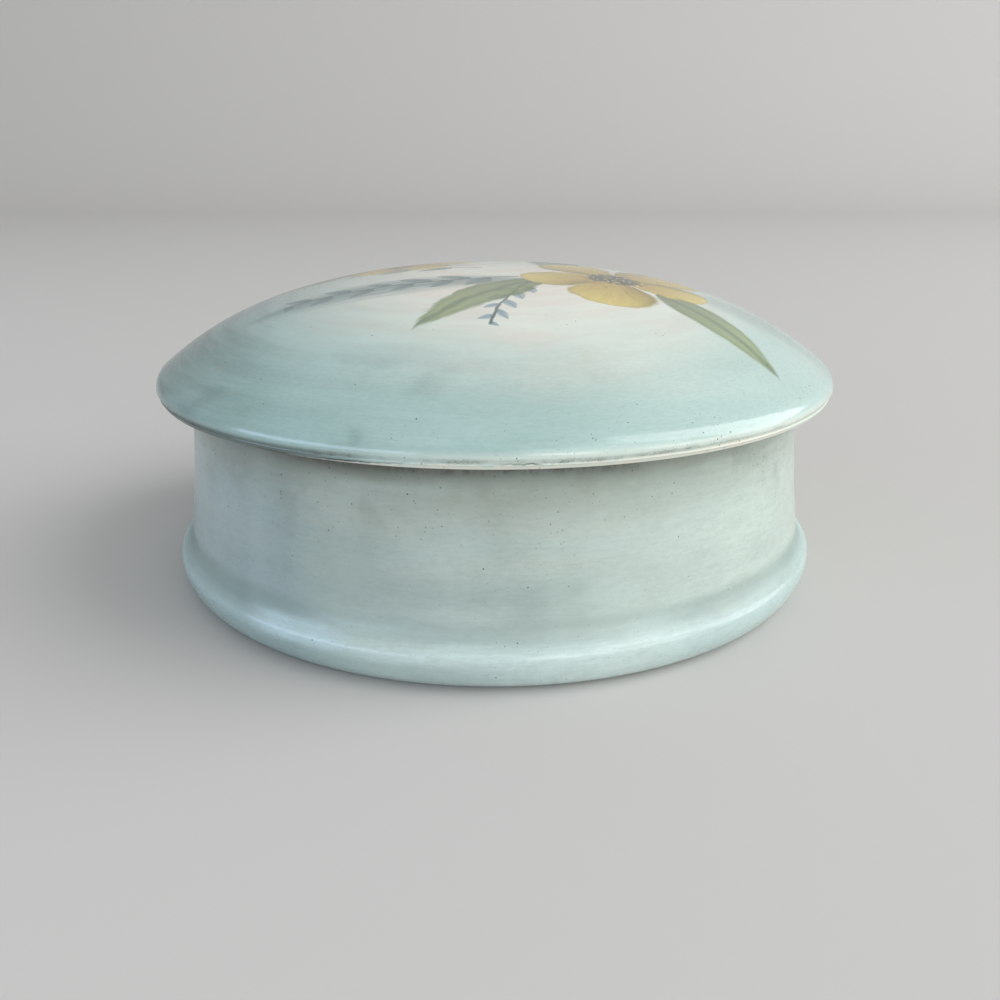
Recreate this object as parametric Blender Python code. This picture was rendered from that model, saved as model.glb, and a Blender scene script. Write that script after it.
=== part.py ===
"""Round ceramic trinket box with a domed lid that lifts off.

Metres, +Z up. The origin is the centre of the foot ring, on the surface that
the box stands on. Each piece is an outline of (radius, height) points, turned
once round the Z axis. The lid's outline starts from its own lower edge.
"""
import math

import bmesh
import bpy

# Outside of the box, from the lid's widest circle inwards
LID_RADIUS = 0.0575
LID_OVERHANG = 0.0056
WALL_FLARE = 0.0021
WALL_HOLLOW = 0.0003
FOOT_PROJECTION = 0.0023
FOOT_ROLL_WIDTH = 0.0047

# Heights on the outside of the base
RIM_HEIGHT = 0.0327
FOOT_WIDEST_HEIGHT = 0.0055
FOOT_SHOULDER_HEIGHT = 0.0100
COVE_RADIUS = 0.0038

# Underside of the base
FOOT_RING_WIDTH = 0.0042
RECESS_DEPTH = 0.0016
RECESS_SLOPE = 0.0012

# Inside of the base
FLOOR_THICKNESS = 0.0034
WALL_THICKNESS = 0.0034
FLOOR_CORNER_RADIUS = 0.0040

# Seat and upright collar that keep the lid in place
SEAT_WIDTH = 0.0024
SEAT_CORNER = 0.0004
COLLAR_THICKNESS = 0.0020
COLLAR_ROUND = 0.0008
COLLAR_SPLAY_DROP = 0.0040

# Lid
LID_HEIGHT = 0.0188
LID_THICKNESS = 0.0032
LID_BAND_HEIGHT = 0.0015
LID_BAND_TAPER = 0.0006
LID_LOWER_CORNER = 0.0005
LID_ROLL_RADIUS = 0.0028
LID_INNER_CORNER = 0.0010
CROWN_FLATNESS = 0.53

# Fits between the lid and the base
LID_SEAT_GAP = 0.0003
LID_SIDE_CLEARANCE = 0.0006
COLLAR_HEAD_CLEARANCE = 0.0013

# Facets
SEGMENTS = 72
CROWN_STEPS = 8
ROLL_STEPS = 4
FOOT_STEPS = 5
WALL_STEPS = 4
CORNER_STEPS = 3
SOLVE_STEPS = 40
MERGE_DISTANCE = 1e-6
SMOOTH_ANGLE = math.radians(35.0)

WALL_TOP_RADIUS = LID_RADIUS - LID_OVERHANG
WALL_FOOT_RADIUS = WALL_TOP_RADIUS + WALL_FLARE
FOOT_RADIUS = WALL_FOOT_RADIUS + FOOT_PROJECTION
RING_OUTER_RADIUS = FOOT_RADIUS - FOOT_ROLL_WIDTH
RING_INNER_RADIUS = RING_OUTER_RADIUS - FOOT_RING_WIDTH
FLOOR_TOP = RECESS_DEPTH + FLOOR_THICKNESS
COLLAR_OUTER_RADIUS = WALL_TOP_RADIUS - SEAT_WIDTH
COLLAR_INNER_RADIUS = COLLAR_OUTER_RADIUS - COLLAR_THICKNESS
SKIRT_RADIUS = COLLAR_OUTER_RADIUS + LID_SIDE_CLEARANCE
LID_SEAT_HEIGHT = RIM_HEIGHT + LID_SEAT_GAP


def clear_scene():
    for old in list(bpy.data.objects):
        bpy.data.objects.remove(old, do_unlink=True)


def arc(centre, radii, start, end, steps):
    """Points along an ellipse in the outline's plane, between two angles in degrees."""
    points = []
    for step in range(steps + 1):
        angle = math.radians(start + (end - start) * step / steps)
        points.append((centre[0] + radii[0] * math.cos(angle), centre[1] + radii[1] * math.sin(angle)))
    return points


def wall_radius(height):
    """Outer radius of the wall, which flares to the foot in a slightly hollow line."""
    share = (RIM_HEIGHT - height) / (RIM_HEIGHT - FOOT_SHOULDER_HEIGHT)
    return WALL_TOP_RADIUS + WALL_FLARE * share - WALL_HOLLOW * math.sin(math.pi * share)


def inner_wall_radius(height):
    return wall_radius(height) - WALL_THICKNESS


def foot_outline():
    """Rolled foot from its ring up to the widest circle, then in through a cove to the wall."""
    roll = arc((RING_OUTER_RADIUS, FOOT_WIDEST_HEIGHT), (FOOT_ROLL_WIDTH, FOOT_WIDEST_HEIGHT),
               -90.0, 0.0, FOOT_STEPS)
    rise = FOOT_SHOULDER_HEIGHT - FOOT_WIDEST_HEIGHT
    turn = 2.0 * math.degrees(math.atan(FOOT_PROJECTION / rise))
    bead_radius = rise / math.sin(math.radians(turn)) - COVE_RADIUS
    bead = arc((FOOT_RADIUS - bead_radius, FOOT_WIDEST_HEIGHT), (bead_radius, bead_radius),
               0.0, turn, CORNER_STEPS)
    cove = arc((WALL_FOOT_RADIUS + COVE_RADIUS, FOOT_SHOULDER_HEIGHT), (COVE_RADIUS, COVE_RADIUS),
               180.0 + turn, 180.0, CORNER_STEPS)
    return roll + bead[1:] + cove[1:]


def wall_outline():
    """Outside of the wall from the foot's cove up to the rounded outer edge of the seat."""
    points = []
    for step in range(1, WALL_STEPS + 1):
        height = FOOT_SHOULDER_HEIGHT + (RIM_HEIGHT - SEAT_CORNER - FOOT_SHOULDER_HEIGHT) * step / WALL_STEPS
        points.append((wall_radius(height), height))
    edge_radius = points[-1][0]
    corner = arc((edge_radius - SEAT_CORNER, RIM_HEIGHT - SEAT_CORNER), (SEAT_CORNER, SEAT_CORNER),
                 0.0, 90.0, CORNER_STEPS)
    return points + corner[1:]


def collar_outline():
    """Collar from the seat's inner edge over its rounded top and down to the splay inside."""
    top = LID_SEAT_HEIGHT + dome_inside_height(COLLAR_OUTER_RADIUS) - COLLAR_HEAD_CLEARANCE
    middle = 0.5 * (COLLAR_OUTER_RADIUS + COLLAR_INNER_RADIUS)
    head = arc((middle, top - COLLAR_ROUND), (0.5 * COLLAR_THICKNESS, COLLAR_ROUND),
               0.0, 180.0, 2 * CORNER_STEPS)
    return [(COLLAR_OUTER_RADIUS, RIM_HEIGHT)] + head + [(COLLAR_INNER_RADIUS, RIM_HEIGHT)]


def inside_outline():
    """Inside of the base from under the collar down to the middle of the floor."""
    top = RIM_HEIGHT - COLLAR_SPLAY_DROP
    bottom = FLOOR_TOP + FLOOR_CORNER_RADIUS
    points = []
    for step in range(CORNER_STEPS + 1):
        height = top + (bottom - top) * step / CORNER_STEPS
        points.append((inner_wall_radius(height), height))
    corner_centre = inner_wall_radius(bottom) - FLOOR_CORNER_RADIUS
    corner = arc((corner_centre, bottom), (FLOOR_CORNER_RADIUS, FLOOR_CORNER_RADIUS),
                 0.0, -90.0, CORNER_STEPS)
    return points + corner[1:] + [(0.0, FLOOR_TOP)]


def base_outline():
    underside = [(0.0, RECESS_DEPTH), (RING_INNER_RADIUS - RECESS_SLOPE, RECESS_DEPTH),
                 (RING_INNER_RADIUS, 0.0)]
    return underside + foot_outline() + wall_outline() + collar_outline() + inside_outline()


def crown_edge():
    """Slope, radius and height at which the dome runs into its rolled edge, found by repeating."""
    slope = 0.0
    for _ in range(SOLVE_STEPS):
        radius = LID_RADIUS - LID_ROLL_RADIUS * (1.0 - math.sin(slope))
        height = LID_BAND_HEIGHT + LID_ROLL_RADIUS * math.cos(slope)
        slope = math.atan((LID_HEIGHT - height) * (2.0 + 2.0 * CROWN_FLATNESS) / radius)
    return slope, radius, height


def dome_outside(radius):
    """Height and slope of the dome, which is flatter in the middle than a ball."""
    _, edge_radius, edge_height = crown_edge()
    drop = LID_HEIGHT - edge_height
    share = radius / edge_radius
    height = LID_HEIGHT - drop * ((1.0 - CROWN_FLATNESS) * share ** 2 + CROWN_FLATNESS * share ** 4)
    steepness = drop * (2.0 * (1.0 - CROWN_FLATNESS) * share + 4.0 * CROWN_FLATNESS * share ** 3)
    return height, math.atan(steepness / edge_radius)


def dome_inside(radius):
    """Point one thickness in from the dome, square to it, and the slope there."""
    height, slope = dome_outside(radius)
    return radius - LID_THICKNESS * math.sin(slope), height - LID_THICKNESS * math.cos(slope), slope


def dome_radius_above(inner_radius, corner):
    """Dome radius whose inside meets a corner of the given size at an upright inner face."""
    low = 0.0
    high = LID_RADIUS
    for _ in range(SOLVE_STEPS):
        middle = 0.5 * (low + high)
        radius, _, slope = dome_inside(middle)
        if radius + corner * (1.0 - math.sin(slope)) < inner_radius:
            low = middle
        else:
            high = middle
    return middle


def dome_inside_height(inner_radius):
    return dome_inside(dome_radius_above(inner_radius, 0.0))[1]


def lid_outside_outline():
    """Outside of the lid from the middle of the crown to its lower edge."""
    slope, edge_radius, _ = crown_edge()
    crown = []
    for step in range(CROWN_STEPS + 1):
        radius = edge_radius * step / CROWN_STEPS
        crown.append((radius, dome_outside(radius)[0]))
    roll = arc((LID_RADIUS - LID_ROLL_RADIUS, LID_BAND_HEIGHT), (LID_ROLL_RADIUS, LID_ROLL_RADIUS),
               90.0 - math.degrees(slope), 0.0, ROLL_STEPS)
    lower_radius = LID_RADIUS - LID_BAND_TAPER
    corner = arc((lower_radius - LID_LOWER_CORNER, LID_LOWER_CORNER), (LID_LOWER_CORNER, LID_LOWER_CORNER),
                 0.0, -90.0, CORNER_STEPS)
    return crown + roll[1:] + corner


def lid_inside_outline():
    """Inside of the lid from its flat lower face up the skirt and along the dome."""
    reach = dome_radius_above(SKIRT_RADIUS, LID_INNER_CORNER)
    radius, height, slope = dome_inside(reach)
    corner_height = height - LID_INNER_CORNER * math.cos(slope)
    corner = arc((SKIRT_RADIUS - LID_INNER_CORNER, corner_height), (LID_INNER_CORNER, LID_INNER_CORNER),
                 0.0, 90.0 - math.degrees(slope), CORNER_STEPS)
    dome = []
    for step in range(1, CROWN_STEPS + 1):
        radius, height, _ = dome_inside(reach * (1.0 - step / CROWN_STEPS))
        dome.append((radius, height))
    return [(SKIRT_RADIUS, 0.0)] + corner + dome


def lid_outline():
    return lid_outside_outline() + lid_inside_outline()


def glaze(name, colour, roughness):
    material = bpy.data.materials.new(name)
    material.use_nodes = True
    shader = material.node_tree.nodes["Principled BSDF"]
    shader.inputs["Base Color"].default_value = colour
    shader.inputs["Roughness"].default_value = roughness
    shader.inputs["Metallic"].default_value = 0.0
    return material


def turned_piece(name, outline, height, material):
    """Closed solid made by turning an outline that starts and ends on the axis."""
    shape = bmesh.new()
    verts = [shape.verts.new((radius, 0.0, level)) for radius, level in outline]
    edges = [shape.edges.new(pair) for pair in zip(verts, verts[1:])]
    bmesh.ops.spin(shape, geom=verts + edges, cent=(0.0, 0.0, 0.0), axis=(0.0, 0.0, 1.0),
                   angle=math.tau, steps=SEGMENTS, use_merge=True)
    bmesh.ops.remove_doubles(shape, verts=shape.verts, dist=MERGE_DISTANCE)
    bmesh.ops.recalc_face_normals(shape, faces=shape.faces)
    mesh = bpy.data.meshes.new(name)
    shape.to_mesh(mesh)
    shape.free()
    mesh.shade_smooth()
    mesh.set_sharp_from_angle(angle=SMOOTH_ANGLE)
    mesh.materials.append(material)
    piece = bpy.data.objects.new(name, mesh)
    piece.location = (0.0, 0.0, height)
    bpy.context.collection.objects.link(piece)
    return piece


clear_scene()
turned_piece("base", base_outline(), 0.0, glaze("base_glaze", (0.40, 0.48, 0.44, 1.0), 0.14))
turned_piece("lid", lid_outline(), LID_SEAT_HEIGHT, glaze("lid_glaze", (0.46, 0.56, 0.52, 1.0), 0.10))
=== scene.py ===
import math
import random

import bmesh
import bpy
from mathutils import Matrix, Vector


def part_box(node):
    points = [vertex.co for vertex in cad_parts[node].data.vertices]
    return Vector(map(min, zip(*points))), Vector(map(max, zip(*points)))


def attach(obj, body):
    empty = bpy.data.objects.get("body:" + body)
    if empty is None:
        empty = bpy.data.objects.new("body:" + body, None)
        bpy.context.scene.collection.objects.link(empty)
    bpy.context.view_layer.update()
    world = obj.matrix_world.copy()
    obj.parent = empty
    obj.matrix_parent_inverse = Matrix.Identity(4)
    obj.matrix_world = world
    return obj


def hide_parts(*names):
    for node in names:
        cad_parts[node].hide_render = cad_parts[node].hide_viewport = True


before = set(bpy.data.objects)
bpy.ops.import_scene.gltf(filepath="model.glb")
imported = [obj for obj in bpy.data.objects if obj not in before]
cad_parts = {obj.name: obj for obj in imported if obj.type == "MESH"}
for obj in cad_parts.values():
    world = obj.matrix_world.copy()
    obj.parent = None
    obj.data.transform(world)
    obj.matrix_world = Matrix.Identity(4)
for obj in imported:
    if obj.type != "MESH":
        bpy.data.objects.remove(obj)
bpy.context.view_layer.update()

baseLow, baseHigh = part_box("base")
lidLow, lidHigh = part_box("lid")
print("frame loaded, box", round(lidHigh[0] * 2000, 1), "mm across,", round(lidHigh[2] * 1000, 1),
      "mm high")

mm = 0.001


def srgb(red, green, blue):  # colour given as 0-255, turned to linear light
    out = []
    for value in (red, green, blue):
        share = value / 255
        out.append(share / 12.92 if share <= 0.04045 else ((share + 0.055) / 1.055) ** 2.4)
    return (*out, 1.0)


# Modelling helpers

def startClean():
    if bpy.context.object and bpy.context.object.mode != "OBJECT":
        bpy.ops.object.mode_set(mode="OBJECT")
    bpy.ops.object.select_all(action="DESELECT")


def arcPoints(centre, radii, start, end, steps):  # leaves out the first point; 0 outwards, 90 up
    across, upward = radii if isinstance(radii, tuple) else (radii, radii)
    points = []
    for step in range(1, steps + 1):
        angle = math.radians(start + (end - start) * step / steps)
        points.append((centre[0] + across * math.cos(angle), centre[1] + upward * math.sin(angle)))
    return points


def linePoints(start, end, steps):  # leaves out the first point too
    points = []
    for step in range(1, steps + 1):
        share = step / steps
        points.append((start[0] + (end[0] - start[0]) * share, start[1] + (end[1] - start[1]) * share))
    return points


def throwShape(name, rings, segments):  # pulls a circle up ring after ring and closes both poles
    startClean()
    bpy.ops.mesh.primitive_circle_add(vertices=segments, radius=rings[0][0], fill_type="TRIFAN",
                                      location=(0, 0, rings[0][1]))
    piece = bpy.context.object
    piece.name = name
    piece.data.name = name
    bpy.ops.object.transform_apply(location=True, rotation=True, scale=True)
    bpy.ops.object.mode_set(mode="EDIT")
    bpy.ops.mesh.select_mode(type="EDGE")
    bpy.ops.mesh.select_all(action="DESELECT")
    bpy.ops.mesh.select_non_manifold(extend=False, use_wire=False, use_boundary=True,
                                     use_multi_face=False, use_non_contiguous=False, use_verts=False)
    for (oldRadius, oldHeight), (radius, height) in zip(rings, rings[1:]):
        bpy.ops.mesh.extrude_edges_move(TRANSFORM_OT_translate={"value": (0, 0, height - oldHeight)})
        bpy.ops.transform.resize(value=(radius / oldRadius, radius / oldRadius, 1),
                                 center_override=(0, 0, height))
    bpy.ops.mesh.extrude_edges_move(TRANSFORM_OT_translate={"value": (0, 0, 0)})
    bpy.ops.mesh.merge(type="CENTER")
    bpy.ops.mesh.select_all(action="SELECT")
    bpy.ops.mesh.normals_make_consistent(inside=False)
    bpy.ops.object.mode_set(mode="OBJECT")
    return piece


def handWobble(piece, isOutside, size, strength, seed):  # low waves of a hand-turned wall, outside only
    group = piece.vertex_groups.new(name="outside")
    for vertex in piece.data.vertices:
        share = isOutside(vertex.co)
        if share > 0:
            group.add([vertex.index], share, "REPLACE")
    waves = bpy.data.textures.new(piece.name + "Waves", "CLOUDS")
    waves.noise_scale = size
    waves.noise_depth = 1
    waves.noise_basis = seed
    wobble = piece.modifiers.new("handWobble", "DISPLACE")
    wobble.texture = waves
    wobble.texture_coords = "LOCAL"
    wobble.strength = strength
    wobble.mid_level = 0.5
    wobble.vertex_group = "outside"
    startClean()
    bpy.context.view_layer.objects.active = piece
    piece.select_set(True)
    bpy.ops.object.modifier_apply(modifier="handWobble")
    bpy.ops.object.shade_smooth_by_angle(angle=math.radians(40))


# Outline of the base, from the middle of its underside to the middle of its floor

baseShape = {
    "middle": 4 * mm,
    "wallTop": lidHigh[0] - 5.6 * mm,
    "wallFoot": baseHigh[0] - 2.3 * mm,
    "wallHollow": 0.3 * mm,
    "rimHeight": lidLow[2] - 0.3 * mm,
    "footRadius": baseHigh[0],
    "footWidest": 5.5 * mm,
    "footRoll": 4.7 * mm,
    "footShoulder": 10.0 * mm,
    "cove": 3.8 * mm,
    "ringWidth": 4.2 * mm,
    "ringEdge": 0.4 * mm,
    "recess": 1.6 * mm,
    "recessSlope": 1.2 * mm,
    "floorTop": 5.0 * mm,
    "wall": 3.4 * mm,
    "floorCorner": 4.0 * mm,
    "seat": 2.4 * mm,
    "seatCorner": 0.4 * mm,
    "collarWall": 2.0 * mm,
    "collarTop": baseHigh[2],
    "collarRound": 0.8 * mm,
    "splayDrop": 4.0 * mm,
    "segments": 256,
    "wobbleSize": 38 * mm,
    "wobble": 0.5 * mm,
}


def wallRadius(height):
    s = baseShape
    share = (s["rimHeight"] - height) / (s["rimHeight"] - s["footShoulder"])
    bow = s["wallHollow"] * math.sin(math.pi * share)
    return s["wallTop"] + (s["wallFoot"] - s["wallTop"]) * share - bow


def baseRings():
    s = baseShape
    ringOut = s["footRadius"] - s["footRoll"]
    ringIn = ringOut - s["ringWidth"]
    recessIn = ringIn - s["recessSlope"]
    rings = [(s["middle"], s["recess"])]
    rings += linePoints(rings[-1], (recessIn, s["recess"]), 9)
    rings += linePoints((recessIn, s["recess"]), (ringIn, s["ringEdge"] * 0.5), 3)
    rings += arcPoints((ringIn + s["ringEdge"], s["ringEdge"] * 0.5),
                       (s["ringEdge"], s["ringEdge"] * 0.5), 180, 270, 3)
    rings += linePoints((ringIn + s["ringEdge"], 0), (ringOut, 0), 3)
    rings += arcPoints((ringOut, s["footWidest"]), (s["footRoll"], s["footWidest"]), -90, 0, 14)
    rise = s["footShoulder"] - s["footWidest"]
    turn = 2 * math.atan((s["footRadius"] - s["wallFoot"]) / rise)
    bead = rise / math.sin(turn) - s["cove"]
    rings += arcPoints((s["footRadius"] - bead, s["footWidest"]), bead, 0, math.degrees(turn), 8)
    rings += arcPoints((s["wallFoot"] + s["cove"], s["footShoulder"]), s["cove"],
                       180 + math.degrees(turn), 180, 9)
    wallEnd = s["rimHeight"] - s["seatCorner"]
    for step in range(1, 25):
        height = s["footShoulder"] + (wallEnd - s["footShoulder"]) * step / 24
        rings.append((wallRadius(height), height))
    rings += arcPoints((rings[-1][0] - s["seatCorner"], wallEnd), s["seatCorner"], 0, 90, 4)
    collarOut = s["wallTop"] - s["seat"]
    collarIn = collarOut - s["collarWall"]
    rings += linePoints(rings[-1], (collarOut + 0.2 * mm, s["rimHeight"]), 2)
    rings += linePoints(rings[-1], (collarOut, s["rimHeight"] + 0.2 * mm), 1)
    headLow = s["collarTop"] - s["collarRound"]
    rings += linePoints(rings[-1], (collarOut, headLow), 3)
    rings += arcPoints(((collarOut + collarIn) / 2, headLow),
                       (s["collarWall"] / 2, s["collarRound"]), 0, 180, 10)
    rings += linePoints(rings[-1], (collarIn, s["rimHeight"]), 3)
    splayEnd = s["rimHeight"] - s["splayDrop"]
    rings += linePoints(rings[-1], (wallRadius(splayEnd) - s["wall"], splayEnd), 4)
    cornerTop = s["floorTop"] + s["floorCorner"]
    for step in range(1, 13):
        height = splayEnd + (cornerTop - splayEnd) * step / 12
        rings.append((wallRadius(height) - s["wall"], height))
    cornerIn = rings[-1][0] - s["floorCorner"]
    rings += arcPoints((cornerIn, cornerTop), s["floorCorner"], 0, -90, 8)
    rings += linePoints(rings[-1], (s["middle"], s["floorTop"]), 9)
    return rings


def baseOutside(place):  # how much of the hand wobble a point takes
    radius = math.hypot(place.x, place.y)
    fromFoot = min(1, max(0, (place.z - 0.5 * mm) / (3 * mm)))
    fromRim = min(1, max(0, (baseShape["rimHeight"] - place.z - 0.5 * mm) / (4 * mm)))
    return fromFoot * fromRim if radius > wallRadius(place.z) - 0.5 * mm else 0


base = throwShape("boxBase", baseRings(), baseShape["segments"])
handWobble(base, baseOutside, baseShape["wobbleSize"], baseShape["wobble"], "ORIGINAL_PERLIN")
print("base thrown:", len(base.data.polygons), "faces")


# Outline of the lid, from the middle of its crown to the middle of its hollow

lidShape = {
    "crown": 1.5 * mm,
    "radius": lidHigh[0],
    "low": lidLow[2],
    "height": lidHigh[2] - lidLow[2],
    "flatness": 0.53,
    "rollRadius": 2.8 * mm,
    "band": 1.5 * mm,
    "taper": 0.6 * mm,
    "grooveHeight": 0.85 * mm,
    "grooveDepth": 0.10 * mm,
    "lowerCorner": 0.35 * mm,
    "thickness": 3.2 * mm,
    "skirt": baseShape["wallTop"] - baseShape["seat"] + 0.6 * mm,
    "innerCorner": 1.0 * mm,
    "segments": 256,
    "wobbleSize": 45 * mm,
    "wobble": 0.6 * mm,
}


def domeEdge():  # slope, radius and height where the dome runs into the rolled edge, by repeating
    s = lidShape
    slope = 0
    for _ in range(40):
        radius = s["radius"] - s["rollRadius"] * (1 - math.sin(slope))
        height = s["band"] + s["rollRadius"] * math.cos(slope)
        slope = math.atan((s["height"] - height) * (2 + 2 * s["flatness"]) / radius)
    return slope, radius, height


def domePoint(radius):  # height above the lid's lower edge, and slope
    s = lidShape
    edgeSlope, edgeRadius, edgeHeight = domeEdge()
    drop = s["height"] - edgeHeight
    share = radius / edgeRadius
    height = s["height"] - drop * ((1 - s["flatness"]) * share ** 2 + s["flatness"] * share ** 4)
    steep = drop * (2 * (1 - s["flatness"]) * share + 4 * s["flatness"] * share ** 3) / edgeRadius
    return height, math.atan(steep)


def hollowPoint(radius):  # one thickness in from the dome, square to it
    height, slope = domePoint(radius)
    thickness = lidShape["thickness"]
    return radius - thickness * math.sin(slope), height - thickness * math.cos(slope), slope


def hollowReach():  # dome radius whose inside meets the rounded corner at the top of the skirt
    s = lidShape
    low, high = 0, s["radius"]
    for _ in range(40):
        middle = (low + high) / 2
        radius, height, slope = hollowPoint(middle)
        if radius + s["innerCorner"] * (1 - math.sin(slope)) < s["skirt"]:
            low = middle
        else:
            high = middle
    return middle


def lidRings():
    s = lidShape
    slope, edgeRadius, edgeHeight = domeEdge()
    rings = []
    for step in range(37):
        radius = s["crown"] + (edgeRadius - s["crown"]) * step / 36
        rings.append((radius, domePoint(radius)[0]))
    rings += arcPoints((s["radius"] - s["rollRadius"], s["band"]), s["rollRadius"],
                       90 - math.degrees(slope), 0, 12)
    lower = s["radius"] - s["taper"]
    grooveRadius = s["radius"] - s["taper"] * 0.55
    rings += linePoints(rings[-1], (grooveRadius, s["grooveHeight"] + 0.2 * mm), 3)
    rings += [(grooveRadius - s["grooveDepth"], s["grooveHeight"] + 0.05 * mm),
              (grooveRadius - s["grooveDepth"], s["grooveHeight"] - 0.05 * mm),
              (grooveRadius - 0.02 * mm, s["grooveHeight"] - 0.2 * mm)]
    rings += linePoints(rings[-1], (lower, s["lowerCorner"]), 2)
    rings += arcPoints((lower - s["lowerCorner"], s["lowerCorner"]), s["lowerCorner"], 0, -90, 5)
    rings += linePoints(rings[-1], (s["skirt"] + 0.3 * mm, 0), 4)
    reach = hollowReach()
    radius, height, slope = hollowPoint(reach)
    cornerHeight = height - s["innerCorner"] * math.cos(slope)
    rings += arcPoints((s["skirt"] + 0.3 * mm, 0.3 * mm), 0.3 * mm, 270, 180, 3)
    rings += linePoints(rings[-1], (s["skirt"], cornerHeight), 4)
    rings += arcPoints((s["skirt"] - s["innerCorner"], cornerHeight), s["innerCorner"], 0,
                       90 - math.degrees(slope), 6)
    for step in range(1, 24):
        radius, height, slope = hollowPoint(reach * (1 - step / 24))
        rings.append((radius, height))
    return [(radius, height + s["low"]) for radius, height in rings]


def lidOutside(place):
    s = lidShape
    radius = math.hypot(place.x, place.y)
    level = place.z - s["low"]
    fromEdge = min(1, max(0, (level - 0.1 * mm) / (1.5 * mm)))
    fromMiddle = min(1, radius / (12 * mm))
    isTop = radius > s["radius"] - 3 * mm or level > domePoint(radius)[0] - 1 * mm
    return fromEdge * fromMiddle if isTop else 0


lid = throwShape("boxLid", lidRings(), lidShape["segments"])
handWobble(lid, lidOutside, lidShape["wobbleSize"], lidShape["wobble"], "IMPROVED_PERLIN")
print("lid thrown:", len(lid.data.polygons), "faces")


# Shader helpers

def newGroup(name, inputs, outputs):  # names of the sockets by their kind, parted by spaces
    tree = bpy.data.node_groups.new(name, "ShaderNodeTree")
    for side, sockets in (("INPUT", inputs), ("OUTPUT", outputs)):
        for kind, labels in sockets.items():
            for label in labels.split():
                tree.interface.new_socket(name=label, in_out=side, socket_type="NodeSocket" + kind)
    return tree, tree.nodes.new("NodeGroupInput").outputs, tree.nodes.new("NodeGroupOutput").inputs


def plug(tree, socket, value):  # links a socket, or sets a plain value
    if isinstance(value, bpy.types.NodeSocket):
        tree.links.new(value, socket)
    else:
        socket.default_value = value


def calc(tree, operation, first, second=0.0, third=0.0, clamp=False):
    node = tree.nodes.new("ShaderNodeMath")
    node.operation = operation
    node.use_clamp = clamp
    for socket, value in zip(node.inputs, (first, second, third)):
        plug(tree, socket, value)
    return node.outputs[0]


def times(tree, first, second, clamp=False):
    return calc(tree, "MULTIPLY", first, second, clamp=clamp)


def scaleAdd(tree, value, scale, extra, clamp=False):  # value times scale, plus extra
    return calc(tree, "MULTIPLY_ADD", value, scale, extra, clamp)


def vectorCalc(tree, operation, first, second=(0, 0, 0)):
    node = tree.nodes.new("ShaderNodeVectorMath")
    node.operation = operation
    plug(tree, node.inputs[0], first)
    plug(tree, node.inputs[1], second)
    return node.outputs[1] if operation in ("LENGTH", "DISTANCE") else node.outputs[0]


def ramp(tree, value, low, high, outLow=0.0, outHigh=1.0):  # smooth step between two levels
    node = tree.nodes.new("ShaderNodeMapRange")
    node.interpolation_type = "SMOOTHSTEP"
    for label, entry in (("Value", value), ("From Min", low), ("From Max", high), ("To Min", outLow),
                         ("To Max", outHigh)):
        plug(tree, node.inputs[label], entry)
    return node.outputs["Result"]


def band(tree, value, places):  # up between the first two places, down between the last two, in mm
    rise, full, fall, gone = (place * mm for place in places)
    return times(tree, ramp(tree, value, rise, full), ramp(tree, value, gone, fall))


def blendColour(tree, share, under, over):
    node = tree.nodes.new("ShaderNodeMix")
    node.data_type = "RGBA"
    plug(tree, node.inputs["Factor"], share)
    plug(tree, node.inputs[6], under)
    plug(tree, node.inputs[7], over)
    return node.outputs[2]


def layOver(tree, under, over, mask, amount=None):  # one more colour over the paint so far, by a mask
    return blendColour(tree, mask if amount is None else times(tree, mask, amount), under, over)


def split(tree, vector):
    node = tree.nodes.new("ShaderNodeSeparateXYZ")
    plug(tree, node.inputs[0], vector)
    return node.outputs


def combine(tree, x, y, z):
    node = tree.nodes.new("ShaderNodeCombineXYZ")
    for socket, value in zip(node.inputs, (x, y, z)):
        plug(tree, socket, value)
    return node.outputs[0]


def noise(tree, vector, scale, detail=2.0, rough=0.5, seed=0.0, flat=False):  # seed moves the place
    node = tree.nodes.new("ShaderNodeTexNoise")
    node.noise_dimensions = "2D" if flat else "3D"
    plug(tree, node.inputs["Vector"],
         vectorCalc(tree, "ADD", vector, (seed, seed * 0.6, -seed)) if seed else vector)
    node.inputs["Scale"].default_value = scale
    node.inputs["Detail"].default_value = detail
    node.inputs["Roughness"].default_value = rough
    return node.outputs["Fac"]


def useGroup(tree, group, **values):
    node = tree.nodes.new("ShaderNodeGroup")
    node.node_tree = group
    for label, value in values.items():
        plug(tree, node.inputs[label], value)
    return node.outputs


# Shader groups that both pieces share

def makeTurnedPlace():  # place on a turned shape: round the axis, and from the middle to the foot
    tree, given, made = newGroup("turnedPlace", {"Vector": "Place"}, {"Vector": "Round", "Float": "Radius"})
    x, y, z = split(tree, given["Place"])
    radius = vectorCalc(tree, "LENGTH", combine(tree, x, y, 0.0))
    rimRadius, softening = 55 * mm, 12 * mm
    share = calc(tree, "DIVIDE", rimRadius, calc(tree, "ADD", radius, softening))
    across = calc(tree, "SUBTRACT", z, radius)
    plug(tree, made["Round"], combine(tree, times(tree, x, share), times(tree, y, share), across))
    plug(tree, made["Radius"], radius)
    return tree


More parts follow.
